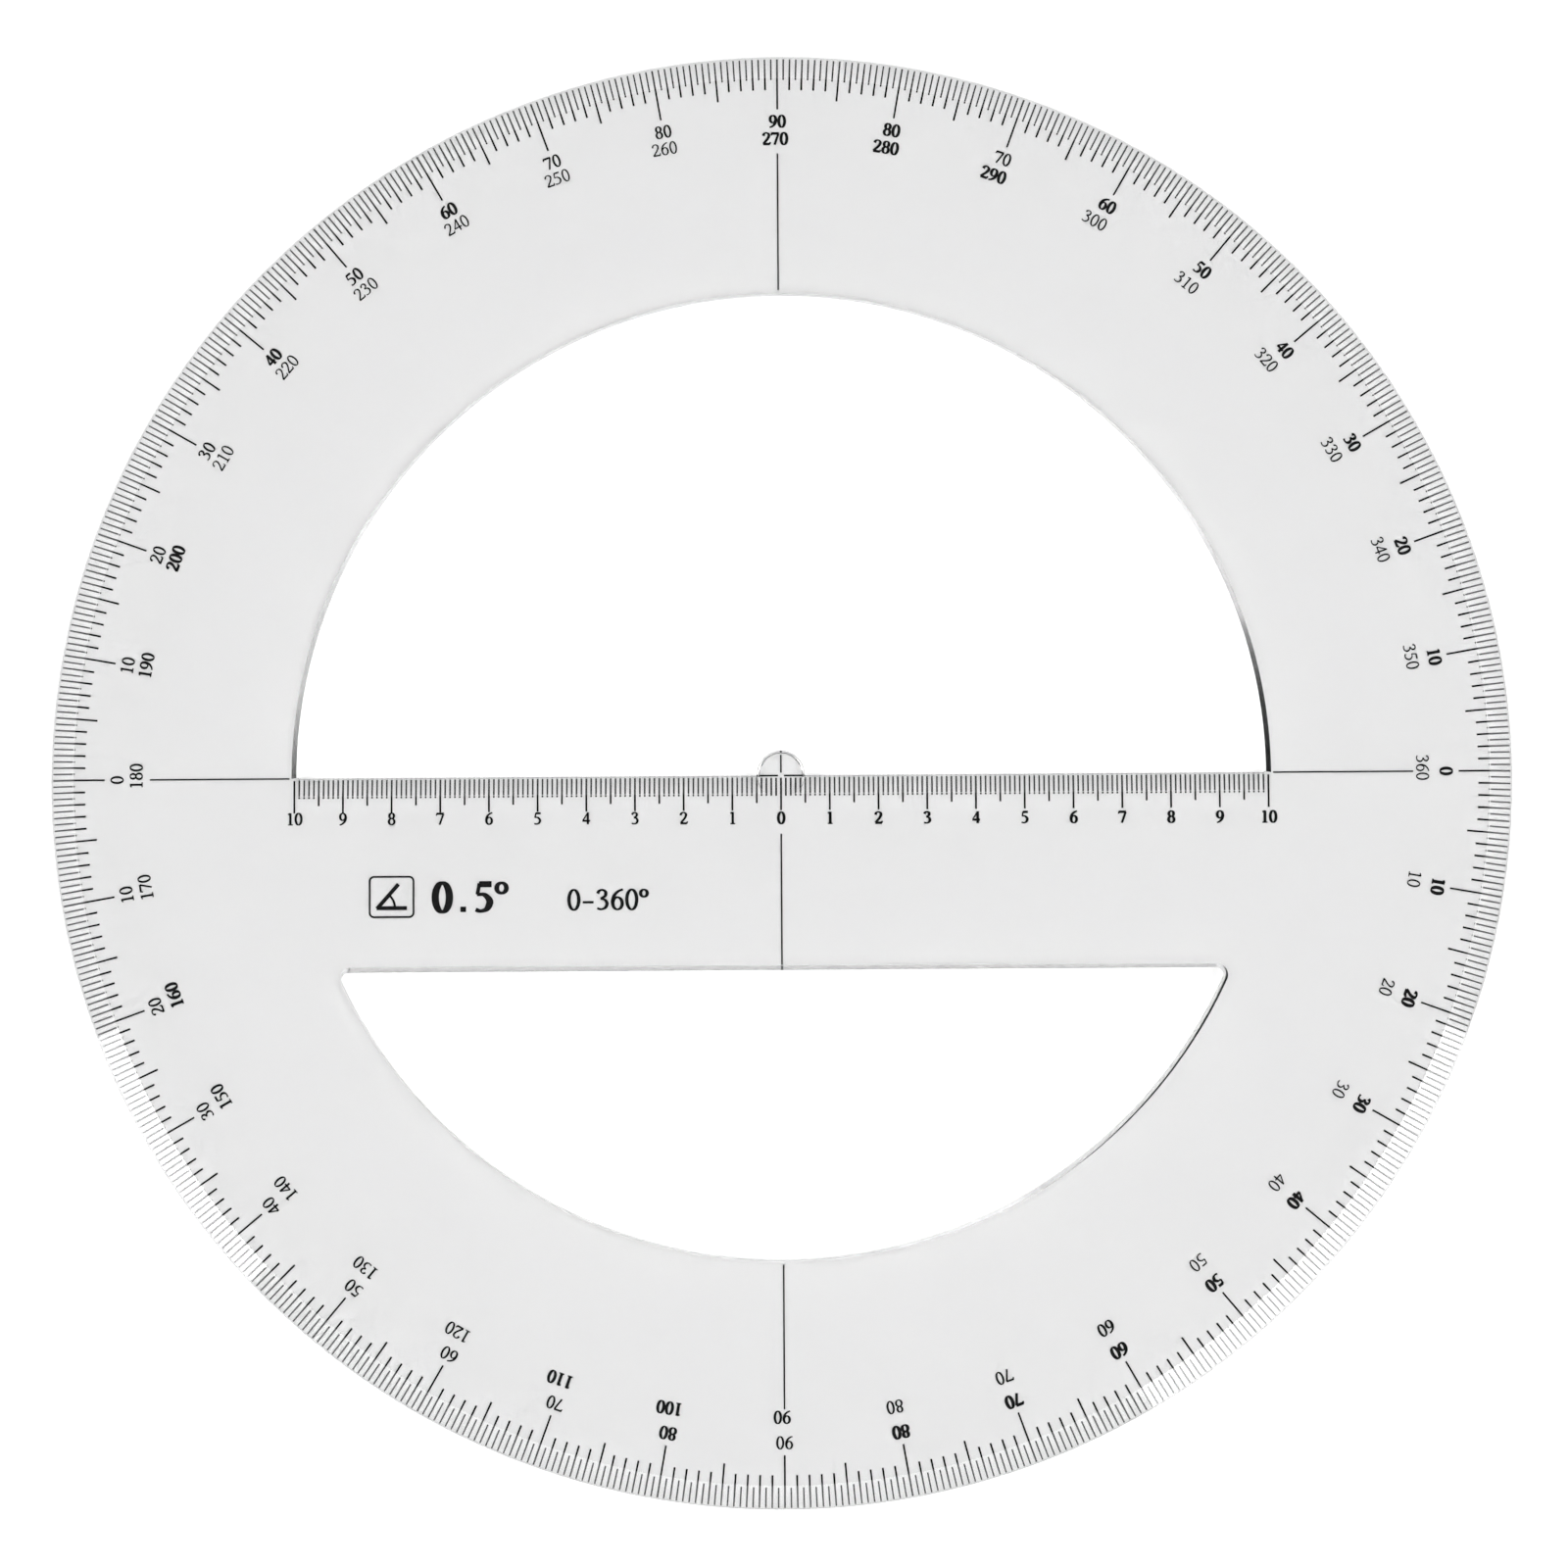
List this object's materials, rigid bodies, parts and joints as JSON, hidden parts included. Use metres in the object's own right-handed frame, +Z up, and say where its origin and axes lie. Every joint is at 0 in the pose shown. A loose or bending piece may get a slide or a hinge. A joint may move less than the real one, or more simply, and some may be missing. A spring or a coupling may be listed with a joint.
{
  "type": "protractor",
  "caption": "Clear full-circle drafting protractor with a ruler band across the middle, two see-through windows, a crosshair tab and ink graduations.",
  "frame": {"origin": "the crosshair point, at the centre of the circle, on the underside of the plate", "axes": "+X towards the right-hand zero along the ruler edge, +Y towards the ninety above it, +Z up through the plate's thickness"},
  "size_m": [0.3, 0.3, 0.003],
  "materials": {
    "clear_acrylic": "clear, polished",
    "black_ink": "printed ink"
  },
  "bodies": {
    "root": {"plate": "clear_acrylic", "crosshair_left": "black_ink", "crosshair_right": "black_ink", "crosshair_stem": "black_ink", "axis_line_right": "black_ink", "axis_line_top": "black_ink", "axis_line_left": "black_ink", "axis_line_bottom": "black_ink", "axis_line_middle": "black_ink", "degree_line_000": "black_ink", "degree_line_010": "black_ink", "degree_line_020": "black_ink", "degree_line_030": "black_ink", "degree_line_040": "black_ink", "degree_line_050": "black_ink", "degree_line_060": "black_ink", "degree_line_070": "black_ink", "degree_line_080": "black_ink", "degree_line_090": "black_ink", "degree_line_100": "black_ink", "degree_line_110": "black_ink", "degree_line_120": "black_ink", "degree_line_130": "black_ink", "degree_line_140": "black_ink", "degree_line_150": "black_ink", "degree_line_160": "black_ink", "degree_line_170": "black_ink", "degree_line_180": "black_ink", "degree_line_190": "black_ink", "degree_line_200": "black_ink", "degree_line_210": "black_ink", "degree_line_220": "black_ink", "degree_line_230": "black_ink", "degree_line_240": "black_ink", "degree_line_250": "black_ink", "degree_line_260": "black_ink", "degree_line_270": "black_ink", "degree_line_280": "black_ink", "degree_line_290": "black_ink", "degree_line_300": "black_ink", "degree_line_310": "black_ink", "degree_line_320": "black_ink", "degree_line_330": "black_ink", "degree_line_340": "black_ink", "degree_line_350": "black_ink", "ruler_line_left_10": "black_ink", "ruler_line_left_05": "black_ink", "ruler_line_zero": "black_ink", "ruler_line_right_05": "black_ink", "ruler_line_right_10": "black_ink"}
  },
  "joints": []
}
